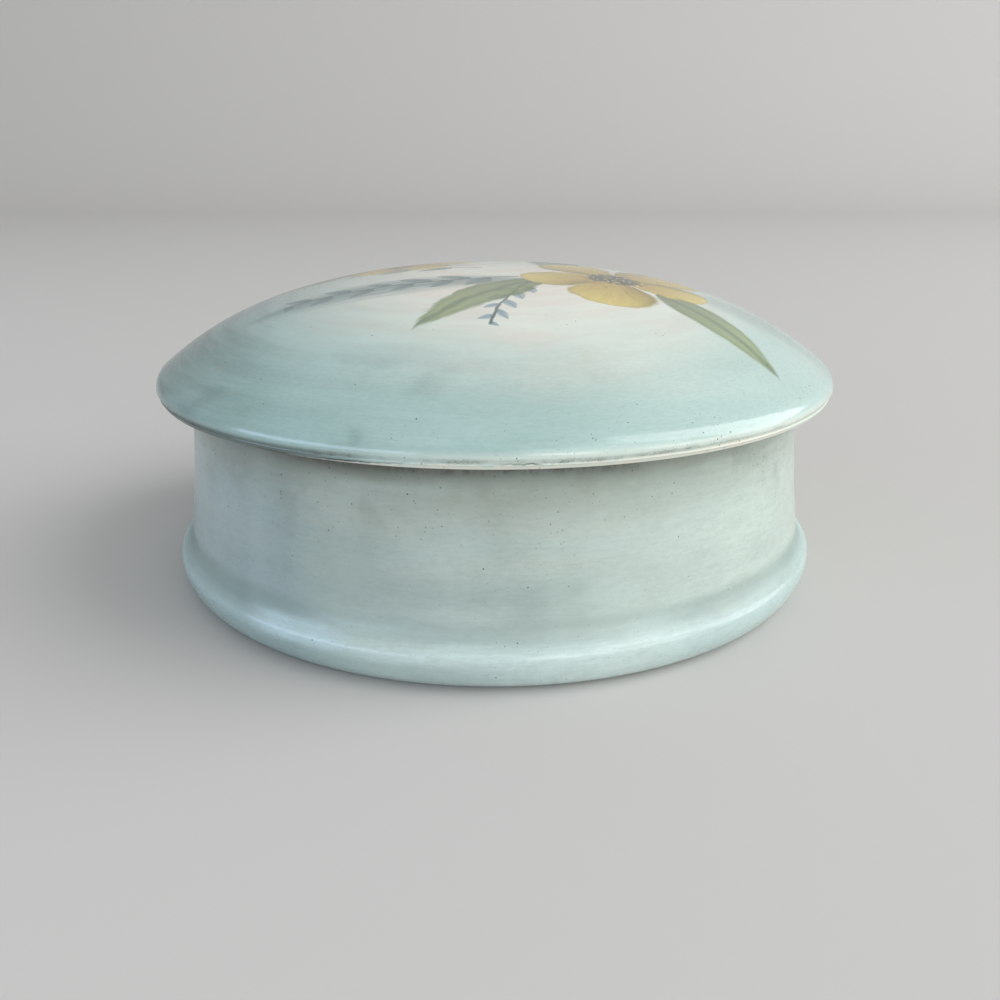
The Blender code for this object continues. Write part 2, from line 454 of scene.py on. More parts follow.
def makeBrushedWash():  # broad clouds of colour and the fine lines of a flat brush drawn round the box
    tree, given, made = newGroup("brushedWash", {"Vector": "Round", "Float": "Seed"},
                                 {"Float": "Broad Streak Fine Grain"})
    moved = vectorCalc(tree, "ADD", given["Round"], combine(tree, given["Seed"], given["Seed"], 0.0))
    broad = noise(tree, vectorCalc(tree, "MULTIPLY", moved, (1, 1, 1.6)), 38, 3, 0.5)
    streak = noise(tree, vectorCalc(tree, "MULTIPLY", moved, (1, 1, 5)), 44, 3, 0.55, 3.1)
    fine = noise(tree, vectorCalc(tree, "MULTIPLY", moved, (1, 1, 14)), 130, 3, 0.6, 7.7)
    grain = noise(tree, vectorCalc(tree, "MULTIPLY", moved, (1, 1, 2)), 1100, 3, 0.7, 5.2)
    plug(tree, made["Broad"], ramp(tree, broad, 0.30, 0.70))
    plug(tree, made["Streak"], ramp(tree, streak, 0.30, 0.70))
    plug(tree, made["Fine"], ramp(tree, fine, 0.30, 0.70))
    plug(tree, made["Grain"], ramp(tree, grain, 0.36, 0.66))
    return tree


def makeSpecks():  # pinholes and dark specks fired into the glaze
    tree, given, made = newGroup("glazeSpecks", {"Vector": "Place", "Float": "Cell Share Size"},
                                 {"Float": "Mask"})
    cells = tree.nodes.new("ShaderNodeTexVoronoi")
    plug(tree, cells.inputs["Vector"], given["Place"])
    plug(tree, cells.inputs["Scale"], given["Cell"])
    pick, grow, _ = split(tree, cells.outputs["Color"])
    chosen = calc(tree, "LESS_THAN", pick, given["Share"])
    size = times(tree, given["Size"], calc(tree, "ADD", grow, 0.4))
    dot = ramp(tree, cells.outputs["Distance"], times(tree, size, 1.25), times(tree, size, 0.75))
    plug(tree, made["Mask"], times(tree, chosen, dot))
    return tree


def makeGlazeRipple():  # the slow unevenness of poured glaze with a little orange peel
    tree, given, made = newGroup("glazeRipple", {"Vector": "Place Round"}, {"Float": "Height"})
    slow = noise(tree, given["Place"], 70, 2, 0.5, 1.3)
    drawn = noise(tree, vectorCalc(tree, "MULTIPLY", given["Round"], (1, 1, 3)), 110, 2, 0.5, 4.2)
    peel = noise(tree, given["Place"], 900, 2, 0.5, 9.1)
    mixed = scaleAdd(tree, drawn, 0.35, slow)
    plug(tree, made["Height"], scaleAdd(tree, peel, 0.03, mixed))
    return tree


def makeStroke():  # one loaded brush stroke laid over what is under it: a leaf or a soft shadow
    tree, given, made = newGroup("paintedStroke", {
        "Color": "Under RootColour TipColour VeinColour", "Vector": "Place Start",
        "Float": "Turn Length Width Bend Root Tip Fill Vein Outline Cover Soft Seed"}, {"Color": "Colour"})
    x, y, _ = split(tree, turnedBy(tree, brushSpot(tree, given, "Start"), given["Turn"]))
    along = calc(tree, "DIVIDE", x, given["Length"], clamp=True)
    lift = times(tree, times(tree, along, along), times(tree, given["Bend"], given["Length"]))
    across = calc(tree, "DIVIDE", calc(tree, "SUBTRACT", y, lift), given["Width"])
    bristlePlace = combine(tree, scaleAdd(tree, along, 1.6, given["Seed"]), times(tree, across, 4.5), 0.0)
    bristle = noise(tree, bristlePlace, 2.0, 3, 0.6, flat=True)
    fullness = times(tree, calc(tree, "POWER", along, given["Root"]),
                    calc(tree, "POWER", calc(tree, "SUBTRACT", 1.0, along), given["Tip"]))
    fullness = times(tree, fullness, given["Fill"])
    worn = times(tree, fullness, scaleAdd(tree, bristle, 0.5, 0.75))
    aside = calc(tree, "ABSOLUTE", across)
    edge = calc(tree, "SUBTRACT", worn, aside)
    body = ramp(tree, edge, 0.0, given["Soft"])
    tone = scaleAdd(tree, calc(tree, "SUBTRACT", bristle, 0.5), 1.1, along, clamp=True)
    colour = blendColour(tree, tone, given["RootColour"], given["TipColour"])
    vein = times(tree, ramp(tree, aside, 0.22, 0.04), given["Vein"])
    colour = layOver(tree, colour, given["VeinColour"], vein)
    rim = times(tree, ramp(tree, edge, calc(tree, "ADD", given["Soft"], 0.3), given["Soft"]),
                given["Outline"])
    colour = layOver(tree, colour, given["VeinColour"], rim)
    cover = times(tree, times(tree, body, given["Cover"]), scaleAdd(tree, bristle, 0.4, 0.72))
    plug(tree, made["Colour"], blendColour(tree, calc(tree, "MINIMUM", cover, 1.0), given["Under"], colour))
    return tree


def brushSpot(tree, given, start):  # where the brush is, moved a little where the paint beneath is thicker
    red, _, blue = split(tree, given["Under"])
    wander = combine(tree, scaleAdd(tree, red, 0.5 * mm, -0.25 * mm),
                     scaleAdd(tree, blue, 0.5 * mm, -0.25 * mm), 0.0)
    return vectorCalc(tree, "SUBTRACT", vectorCalc(tree, "ADD", given["Place"], wander), given[start])


def turnedBy(tree, vector, angle):
    turner = tree.nodes.new("ShaderNodeVectorRotate")
    turner.rotation_type = "Z_AXIS"
    plug(tree, turner.inputs["Vector"], vector)
    plug(tree, turner.inputs["Angle"], times(tree, angle, -1.0))
    return turner.outputs[0]


def luck(tree, number, seed):  # an unchanging random share for each count
    spun = calc(tree, "SINE", scaleAdd(tree, number, 12.99, seed))
    return calc(tree, "FRACT", times(tree, spun, 437.6))


def makeBlossom():  # five rounded petals with a fold of shade, fine veins and a dark heart
    tree, given, made = newGroup("paintedBlossom", {
        "Color": "Under RootColour TipColour VeinColour HeartColour", "Vector": "Place Centre",
        "Float": "Turn Reach Cover Seed"}, {"Color": "Colour"})
    spot = turnedBy(tree, brushSpot(tree, given, "Centre"), given["Turn"])
    x, y, _ = split(tree, spot)
    ruffle = calc(tree, "SUBTRACT", noise(tree, spot, 240, 2, 0.55, 2.7), 0.5)
    radius = calc(tree, "DIVIDE", vectorCalc(tree, "LENGTH", combine(tree, x, y, 0.0)), given["Reach"])
    angle = scaleAdd(tree, ruffle, 0.24, calc(tree, "ARCTAN2", y, x))
    turns = times(tree, angle, 5 / math.tau)
    number = calc(tree, "ROUND", turns)
    vary = luck(tree, calc(tree, "FLOORED_MODULO", number, 5.0), given["Seed"])
    reached = calc(tree, "DIVIDE", radius, scaleAdd(tree, vary, 0.20, 0.78))
    tilt = times(tree, calc(tree, "SUBTRACT", vary, 0.5), times(tree, reached, 0.22))
    aside = calc(tree, "ADD", calc(tree, "SUBTRACT", turns, number), tilt)
    roundTip = calc(tree, "SUBTRACT", 1.0, calc(tree, "POWER", reached, 3.6), clamp=True)
    width = times(tree, calc(tree, "POWER", roundTip, 0.5), 0.55)
    edge = scaleAdd(tree, ruffle, 0.12, calc(tree, "SUBTRACT", width, calc(tree, "ABSOLUTE", aside)))
    body = ramp(tree, edge, 0.0, 0.09)
    streaks = noise(tree, combine(tree, times(tree, aside, 5.0), times(tree, reached, 0.9), number),
                    2.4, 3, 0.6)
    tone = scaleAdd(tree, calc(tree, "SUBTRACT", streaks, 0.5), 1.1, reached, clamp=True)
    colour = blendColour(tree, tone, given["RootColour"], given["TipColour"])
    fold = times(tree, ramp(tree, aside, 0.02, 0.46), scaleAdd(tree, streaks, 0.5, 0.30))
    colour = layOver(tree, colour, given["VeinColour"], fold)
    veins = times(tree, ramp(tree, streaks, 0.55, 0.72), ramp(tree, reached, 0.95, 0.25))
    colour = layOver(tree, colour, given["VeinColour"], veins, 0.7)
    rim = times(tree, ramp(tree, edge, 0.17, 0.05), 0.35)
    colour = layOver(tree, colour, given["VeinColour"], rim)
    heart = ramp(tree, scaleAdd(tree, ruffle, 0.22, radius), 0.27, 0.17)
    colour = layOver(tree, colour, given["HeartColour"], heart)
    dots = times(tree, ramp(tree, noise(tree, spot, 1300, 1, 0.5, 6.1), 0.56, 0.66),
                 ramp(tree, radius, 0.30, 0.24))
    colour = layOver(tree, colour, given["TipColour"], dots, 0.8)
    cover = times(tree, given["Cover"], scaleAdd(tree, streaks, 0.2, 0.86))
    cover = times(tree, calc(tree, "MAXIMUM", body, heart), cover)
    plug(tree, made["Colour"], blendColour(tree, calc(tree, "MINIMUM", cover, 1.0), given["Under"], colour))
    return tree


def makeSprig():  # a thin stem with small leaves set on both sides in turn
    tree, given, made = newGroup("paintedSprig", {
        "Color": "Under RootColour TipColour StemColour", "Vector": "Place Start",
        "Float": "Turn Length Bend Leaves Cover Seed"}, {"Color": "Colour"})
    spot = turnedBy(tree, brushSpot(tree, given, "Start"), given["Turn"])
    x, y, _ = split(tree, spot)
    share = calc(tree, "DIVIDE", x, given["Length"])
    inside = times(tree, calc(tree, "GREATER_THAN", share, 0.0), calc(tree, "LESS_THAN", share, 1.0))
    lift = times(tree, times(tree, share, share), times(tree, given["Bend"], given["Length"]))
    aside = calc(tree, "SUBTRACT", y, lift)
    apart = calc(tree, "ABSOLUTE", aside)
    spacing = calc(tree, "DIVIDE", given["Length"], given["Leaves"])
    steps = scaleAdd(tree, calc(tree, "SIGN", aside), 0.25, calc(tree, "DIVIDE", x, spacing))
    number = calc(tree, "FLOOR", steps)
    onward = times(tree, calc(tree, "SUBTRACT", steps, number), spacing)
    vary = luck(tree, scaleAdd(tree, calc(tree, "SIGN", aside), 20.0, number), given["Seed"])
    size = times(tree, times(tree, spacing, scaleAdd(tree, share, -0.5, 1.3)),
                scaleAdd(tree, vary, 0.3, 0.8))
    lean = math.radians(40)
    along = calc(tree, "ADD", times(tree, onward, math.cos(lean)), times(tree, apart, math.sin(lean)))
    along = calc(tree, "DIVIDE", along, size, clamp=True)
    across = calc(tree, "SUBTRACT", times(tree, apart, math.cos(lean)), times(tree, onward, math.sin(lean)))
    across = calc(tree, "ABSOLUTE", calc(tree, "DIVIDE", across, times(tree, size, 0.26)))
    fullness = times(tree, calc(tree, "POWER", along, 0.6),
                    calc(tree, "POWER", calc(tree, "SUBTRACT", 1.0, along), 0.9))
    edge = calc(tree, "SUBTRACT", times(tree, fullness, fillFor(0.6, 0.9)), across)
    leaf = times(tree, ramp(tree, edge, 0.0, 0.4), calc(tree, "GREATER_THAN", number, 0.5))
    stem = ramp(tree, apart, 0.36 * mm, 0.14 * mm)
    grain = noise(tree, spot, 420, 2, 0.6, 1.9)
    tone = scaleAdd(tree, calc(tree, "SUBTRACT", grain, 0.5), 1.2, along, clamp=True)
    colour = blendColour(tree, tone, given["RootColour"], given["TipColour"])
    colour = layOver(tree, colour, given["StemColour"], ramp(tree, across, 0.25, 0.05), 0.4)
    colour = layOver(tree, colour, given["StemColour"], stem)
    cover = times(tree, calc(tree, "MAXIMUM", leaf, stem), times(tree, inside, given["Cover"]))
    cover = times(tree, cover, scaleAdd(tree, grain, 0.5, 0.7), clamp=True)
    plug(tree, made["Colour"], blendColour(tree, cover, given["Under"], colour))
    return tree


def fillFor(root, tip):  # makes a stroke's widest place reach its half width
    widest = root / (root + tip)
    return 1 / (widest ** root * (1 - widest) ** tip)


turnedPlace = makeTurnedPlace()
brushedWash = makeBrushedWash()
glazeSpecks = makeSpecks()
glazeRipple = makeGlazeRipple()
paintedStroke = makeStroke()
paintedBlossom = makeBlossom()
paintedSprig = makeSprig()
print("shader groups made")


# Finishes

def startMaterial(name, roughness):
    material = bpy.data.materials.new(name)
    material.use_nodes = True
    tree = material.node_tree
    shader = tree.nodes["Principled BSDF"]
    shader.inputs["Metallic"].default_value = 0.0
    shader.inputs["Roughness"].default_value = roughness
    shader.inputs["IOR"].default_value = 1.58
    place = tree.nodes.new("ShaderNodeTexCoord").outputs["Object"]
    return material, tree, shader, place


def raiseSurface(tree, shader, height, strength, distance):
    bump = tree.nodes.new("ShaderNodeBump")
    bump.inputs["Strength"].default_value = strength
    bump.inputs["Distance"].default_value = distance
    plug(tree, bump.inputs["Height"], height)
    plug(tree, shader.inputs["Normal"], bump.outputs[0])


wallPaint = {
    "deep": srgb(154, 171, 166),
    "pale": srgb(190, 205, 199),
    "cream": srgb(204, 206, 192),
    "mint": srgb(200, 215, 207),
    "foot": srgb(212, 231, 228),
    "footBlue": srgb(156, 186, 188),
    "footHighlight": srgb(206, 230, 236),
    "footLowShade": srgb(138, 158, 154),
    "blue": srgb(138, 158, 165),
    "crease": srgb(130, 150, 146),
    "shade": srgb(124, 130, 116),
    "shadowAndStain": srgb(66, 64, 54),
    "speck": srgb(56, 54, 48),
    "creaseBand": (6.6, 8.2, 8.8, 11.6),
    "highlightBand": (4.2, 5.4, 7.2, 8.6),
    "highlightMiddle": -28 * mm,
    "dullBand": (6.4, 7.6, 9.6, 12.0),
    "shadowAndStainMiddle": -6 * mm,
    "gloss": 0.20,
}


def makeWallPaint():
    s = wallPaint
    material, tree, shader, place = startMaterial("wallPaint", s["gloss"])
    where = useGroup(tree, turnedPlace, Place=place)
    wash = useGroup(tree, brushedWash, Round=where["Round"], Seed=2.0)
    x, y, z = split(tree, place)
    front = ramp(tree, y, 10 * mm, -30 * mm)
    colour = blendColour(tree, wash["Broad"], s["deep"], s["pale"])
    middle = times(tree, ramp(tree, z, 12 * mm, 22 * mm), wash["Streak"])
    colour = layOver(tree, colour, s["cream"], middle, 0.35)
    # Paler mint towards the right: partly mint paint, partly painted light from the right.
    right = times(tree, ramp(tree, x, 6 * mm, 40 * mm), scaleAdd(tree, wash["Streak"], -0.25, 0.85))
    colour = layOver(tree, colour, s["mint"], right)
    # Bluer and darker on the front left: partly blue-grey paint, partly painted shade.
    left = times(tree, ramp(tree, x, -23 * mm, -31 * mm), times(tree, front, 0.55))
    colour = layOver(tree, colour, s["blue"], left)
    # Darker khaki band high on the wall: partly grey-green paint, partly painted shade under the lid,
    # deeper on the left.
    topShade = calc(tree, "ADD", scaleAdd(tree, wash["Streak"], 0.3, 0.34),
                    ramp(tree, x, 0.0, -20 * mm, 0.0, 0.14))
    underLidShade = times(tree, ramp(tree, z, 20 * mm, 31 * mm), topShade)
    colour = layOver(tree, colour, s["shade"], underLidShade)
    lowWash = ramp(tree, scaleAdd(tree, wash["Streak"], 2.5 * mm, z), 11.5 * mm, 6.5 * mm)
    # Foot bluer and darker towards both sides: partly paint, partly painted shade.
    footSides = calc(tree, "ADD", ramp(tree, x, -16 * mm, -30 * mm, 0.0, 0.8),
                     ramp(tree, x, 16 * mm, 34 * mm, 0.0, 0.5))
    footColour = blendColour(tree, footSides, s["foot"], s["footBlue"])
    colour = layOver(tree, colour, footColour, lowWash, 0.85)
    # Painted shade in the cove where the wall runs into the foot, deeper towards both sides.
    crease = band(tree, z, s["creaseBand"])
    creaseDepth = calc(tree, "ADD", scaleAdd(tree, wash["Broad"], 0.3, 0.15),
                       ramp(tree, x, -18 * mm, -34 * mm, 0.0, 0.6))
    creaseDepth = calc(tree, "ADD", creaseDepth, ramp(tree, x, 18 * mm, 34 * mm, 0.0, 0.3))
    colour = layOver(tree, colour, s["crease"], crease, creaseDepth)
    # Painted highlight: a pale blue reflection on the front left of the foot's shoulder.
    besideLeft = calc(tree, "ABSOLUTE", calc(tree, "SUBTRACT", x, s["highlightMiddle"]))
    besideLeft = ramp(tree, besideLeft, 10 * mm, 3 * mm)
    footHighlight = band(tree, z, s["highlightBand"])
    footHighlight = times(tree, footHighlight, times(tree, besideLeft, front))
    colour = layOver(tree, colour, s["footHighlight"], footHighlight, 0.8)
    colour = layOver(tree, colour, s["deep"], wash["Fine"], 0.14)
    mottle = noise(tree, vectorCalc(tree, "MULTIPLY", where["Round"], (1, 1, 3)), 420, 3, 0.6, 2.5)
    mottle = ramp(tree, mottle, 0.40, 0.75)
    colour = layOver(tree, colour, s["shade"], mottle, 0.12)
    colour = layOver(tree, colour, s["shade"], wash["Grain"], 0.11)
    blotch = ramp(tree, noise(tree, place, 130, 3, 0.6, 8.4), 0.50, 0.68)
    colour = layOver(tree, colour, s["shade"], blotch, ramp(tree, z, 14 * mm, 29 * mm, 0.05, 0.26))
    # Painted reflection: soft pale upright bands round the wall.
    reflectionBands = ramp(tree, noise(tree, combine(tree, x, y, 0.0), 58, 2, 0.5, 14.0), 0.40, 0.66)
    colour = layOver(tree, colour, s["mint"], reflectionBands, 0.16)
    # Painted shade on the lower half of the foot, deeper towards the left.
    lowShade = times(tree, ramp(tree, z, 6.4 * mm, 3.6 * mm), ramp(tree, x, 14 * mm, -10 * mm, 0.0, 0.5))
    colour = layOver(tree, colour, s["footLowShade"], lowShade)
    specks = useGroup(tree, glazeSpecks, Place=place, Cell=700.0, Share=0.36, Size=0.065)
    grains = useGroup(tree, glazeSpecks, Place=place, Cell=1300.0, Share=0.60, Size=0.13)
    grimeAndShadeNoise = ramp(tree, noise(tree, place, 60, 2, 0.5, 3.3), 0.38, 0.58)
    nearLid = times(tree, ramp(tree, z, 18 * mm, 31 * mm, 0.3, 1.0), scaleAdd(tree, grimeAndShadeNoise, 0.7, 0.3))
    dots = calc(tree, "MAXIMUM", specks["Mask"], times(tree, grains["Mask"], nearLid))
    colour = layOver(tree, colour, s["speck"], dots, 0.75)
    # Dark band just below the lid, deepest at the front middle: partly grime, partly painted shadow of the
    # lid's overhang.
    aside = calc(tree, "ABSOLUTE", calc(tree, "SUBTRACT", x, s["shadowAndStainMiddle"]))
    centred = times(tree, ramp(tree, aside, 38 * mm, 14 * mm), front)
    deepness = scaleAdd(tree, centred, scaleAdd(tree, grimeAndShadeNoise, 0.25, 0.30), 0.20)
    shadowAndStainLine = times(tree, ramp(tree, z, 28.4 * mm, 31.5 * mm), deepness)
    colour = layOver(tree, colour, s["shadowAndStain"], shadowAndStainLine)
    # Broken dark line right under the lid's edge: partly grime, partly painted shadow in the gap.
    gapLineBreaks = scaleAdd(tree, ramp(tree, noise(tree, place, 900, 3, 0.65, 27.0), 0.42, 0.62), 0.6, 0.4)
    gapShadowAndGrime = times(tree, ramp(tree, z, 30.2 * mm, 31.5 * mm), times(tree, centred, gapLineBreaks))
    colour = layOver(tree, colour, s["shadowAndStain"], gapShadowAndGrime, 0.7)
    plug(tree, shader.inputs["Base Color"], colour)
    footGloss = scaleAdd(tree, lowWash, 0.06, s["gloss"] - 0.03)
    cove = band(tree, z, s["dullBand"])
    footGloss = scaleAdd(tree, cove, 0.22, footGloss)
    plug(tree, shader.inputs["Roughness"], scaleAdd(tree, wash["Fine"], 0.06, footGloss))
    ripple = useGroup(tree, glazeRipple, Place=place, Round=where["Round"])
    raiseSurface(tree, shader, ripple["Height"], 0.35, 0.3 * mm)
    return material


plainGlazeLook = {
    "white": srgb(228, 226, 214),
    "cool": srgb(214, 219, 210),
    "speck": srgb(96, 82, 62),
    "gloss": 0.13,
}


def makePlainGlaze():
    s = plainGlazeLook
    material, tree, shader, place = startMaterial("plainGlaze", s["gloss"])
    where = useGroup(tree, turnedPlace, Place=place)
    wash = useGroup(tree, brushedWash, Round=where["Round"], Seed=11.0)
    colour = blendColour(tree, wash["Broad"], s["cool"], s["white"])
    specks = useGroup(tree, glazeSpecks, Place=place, Cell=170.0, Share=0.10, Size=0.05)
    colour = layOver(tree, colour, s["speck"], specks["Mask"], 0.6)
    plug(tree, shader.inputs["Base Color"], colour)
    plug(tree, shader.inputs["Roughness"], scaleAdd(tree, wash["Streak"], 0.05, s["gloss"] - 0.02))
    ripple = useGroup(tree, glazeRipple, Place=place, Round=where["Round"])
    raiseSurface(tree, shader, ripple["Height"], 0.3, 0.3 * mm)
    return material


bareClayLook = {
    "clay": srgb(212, 202, 184),
    "grime": srgb(146, 134, 116),
    "rough": 0.72,
}


def makeBareClay():
    s = bareClayLook
    material, tree, shader, place = startMaterial("bareClay", s["rough"])
    grain = noise(tree, place, 2600, 3, 0.6, 5.0)
    patches = noise(tree, place, 160, 3, 0.55, 8.0)
    colour = blendColour(tree, ramp(tree, patches, 0.42, 0.75), s["clay"], s["grime"])
    colour = layOver(tree, colour, s["grime"], grain, 0.25)
    plug(tree, shader.inputs["Base Color"], colour)
    plug(tree, shader.inputs["Roughness"], scaleAdd(tree, grain, 0.2, s["rough"] - 0.1))
    raiseSurface(tree, shader, grain, 0.4, 0.08 * mm)
    return material


# Painted lid: washes with some painted light and shade, then the flower spray, then the worn and dirty
# lower edge with painted shade on its left

lidPaint = {
    "deep": srgb(96, 121, 117),
    "aqua": srgb(164, 192, 187),
    "pale": srgb(202, 221, 215),
    "cream": srgb(242, 242, 230),
    "blush": srgb(240, 229, 217),
    "glowCentre": (5 * mm, -13 * mm, 0),
    "glowReach": 49 * mm,
    "edgePale": srgb(212, 222, 212),
    "edgeShade": srgb(72, 82, 78),
    "stripClay": srgb(220, 219, 206),
    "stripTop": 0.72 * mm,
    "grime": srgb(70, 70, 60),
    "speck": srgb(44, 46, 42),
    "dirtBand": (1.0, 1.3, 1.3, 2.2),
    "lineBand": (0.02, 0.16, 0.18, 0.40),
    "gloss": 0.14,
}

spray = {  # starts and centres in millimetres, turns in degrees
    "shadows": (  # start, turn, length, width, cover
        ((10, -11), 189, 52, 7, 0.85), ((-2, 4), 160, 46, 9, 0.6),
        ((10, 6), 60, 36, 12, 0.5), ((30, -6), -20, 24, 8, 0.4)),
    "sprigs": (  # start, turn, length, bend, leaves, tint
        ((4, -10), 196, 38, -0.10, 6, "dusk"), ((-2, 0), 168, 40, 0.14, 6, "dusk"),
        ((12, 6), 72, 34, -0.12, 6, "dusk"), ((28, 2), 24, 24, 0.15, 5, "blue"),
        ((6, -14), 246, 22, 0.12, 5, "blue")),
    "leaves": (  # start, turn, length, width, bend, tint
        ((8, -12), 222, 31, 4.8, 0.16, "leaf"), ((26, -14), -42, 25, 4.6, -0.14, "leaf"),
        ((-14, 16), 118, 24, 5.0, 0.15, "leaf"), ((10, 4), 84, 27, 5.2, -0.12, "dusk"),
        ((-22, 8), 196, 20, 4.2, 0.16, "leaf")),
    "blossoms": (((-17, 10), 20, 13.5), ((20, -7), 50, 20)),  # centre, turn, reach
    "petalRoot": srgb(178, 140, 56),
    "petalTip": srgb(222, 202, 120),
    "petalVein": srgb(118, 108, 58),
    "heartRoot": srgb(66, 74, 64),
    "leafRoot": srgb(104, 122, 82),
    "leafTip": srgb(166, 180, 130),
    "leafVein": srgb(84, 102, 78),
    "duskRoot": srgb(104, 124, 124),
    "duskTip": srgb(146, 164, 162),
    "duskVein": srgb(86, 104, 106),
    "blueRoot": srgb(132, 158, 170),
    "blueTip": srgb(168, 188, 194),
    "shadow": srgb(122, 144, 142),
}


def onLid(point):
    return point[0] * mm, point[1] * mm, 0


def stroke(tree, under, place, start, turn, length, width, colours, bend=0.0, root=0.55, tip=0.95,
           vein=0.0, outline=0.0, cover=0.95, soft=0.22, seed=0.0):
    rootColour, tipColour, veinColour = colours
    return useGroup(tree, paintedStroke, Under=under, Place=place, Start=onLid(start),
                    Turn=math.radians(turn), Length=length * mm, Width=width * mm, Bend=bend,
                    Root=root, Tip=tip, Fill=fillFor(root, tip), RootColour=rootColour,
                    TipColour=tipColour, VeinColour=veinColour, Vein=vein, Outline=outline,
                    Cover=cover, Soft=soft, Seed=seed)["Colour"]


def paintSpray(tree, under, place):  # soft shadows first, then sprigs, leaves and the two blossoms
    s = spray
    dice = random.Random(7)
    for start, turn, length, width, cover in s["shadows"]:
        tones = s["shadow"], s["shadow"], s["duskTip"]
        under = stroke(tree, under, place, start, turn, length, width, tones, root=0.7, tip=0.7,
                       cover=cover, soft=0.8, seed=dice.uniform(0, 40))
    for start, turn, length, bend, leaves, tint in s["sprigs"]:
        under = useGroup(tree, paintedSprig, Under=under, Place=place, Start=onLid(start),
                         Turn=math.radians(turn), Length=length * mm, Bend=bend, Leaves=leaves,
                         RootColour=s[tint + "Root"], TipColour=s[tint + "Tip"],
                         StemColour=s["duskVein"], Cover=0.9, Seed=dice.uniform(0, 6))["Colour"]
    for start, turn, length, width, bend, tint in s["leaves"]:
        tones = s[tint + "Root"], s[tint + "Tip"], s[tint + "Vein"]
        under = stroke(tree, under, place, start, turn, length, width, tones, bend=bend, vein=0.65,
                       outline=0.3, cover=0.93, soft=0.22, seed=dice.uniform(0, 40))
    for centre, turn, reach in s["blossoms"]:
        under = useGroup(tree, paintedBlossom, Under=under, Place=place, Centre=onLid(centre),
                         Turn=math.radians(turn), Reach=reach * mm, RootColour=s["petalRoot"],
                         TipColour=s["petalTip"], VeinColour=s["petalVein"],
                         HeartColour=s["heartRoot"], Cover=1.0, Seed=dice.uniform(0, 6))["Colour"]
    return under


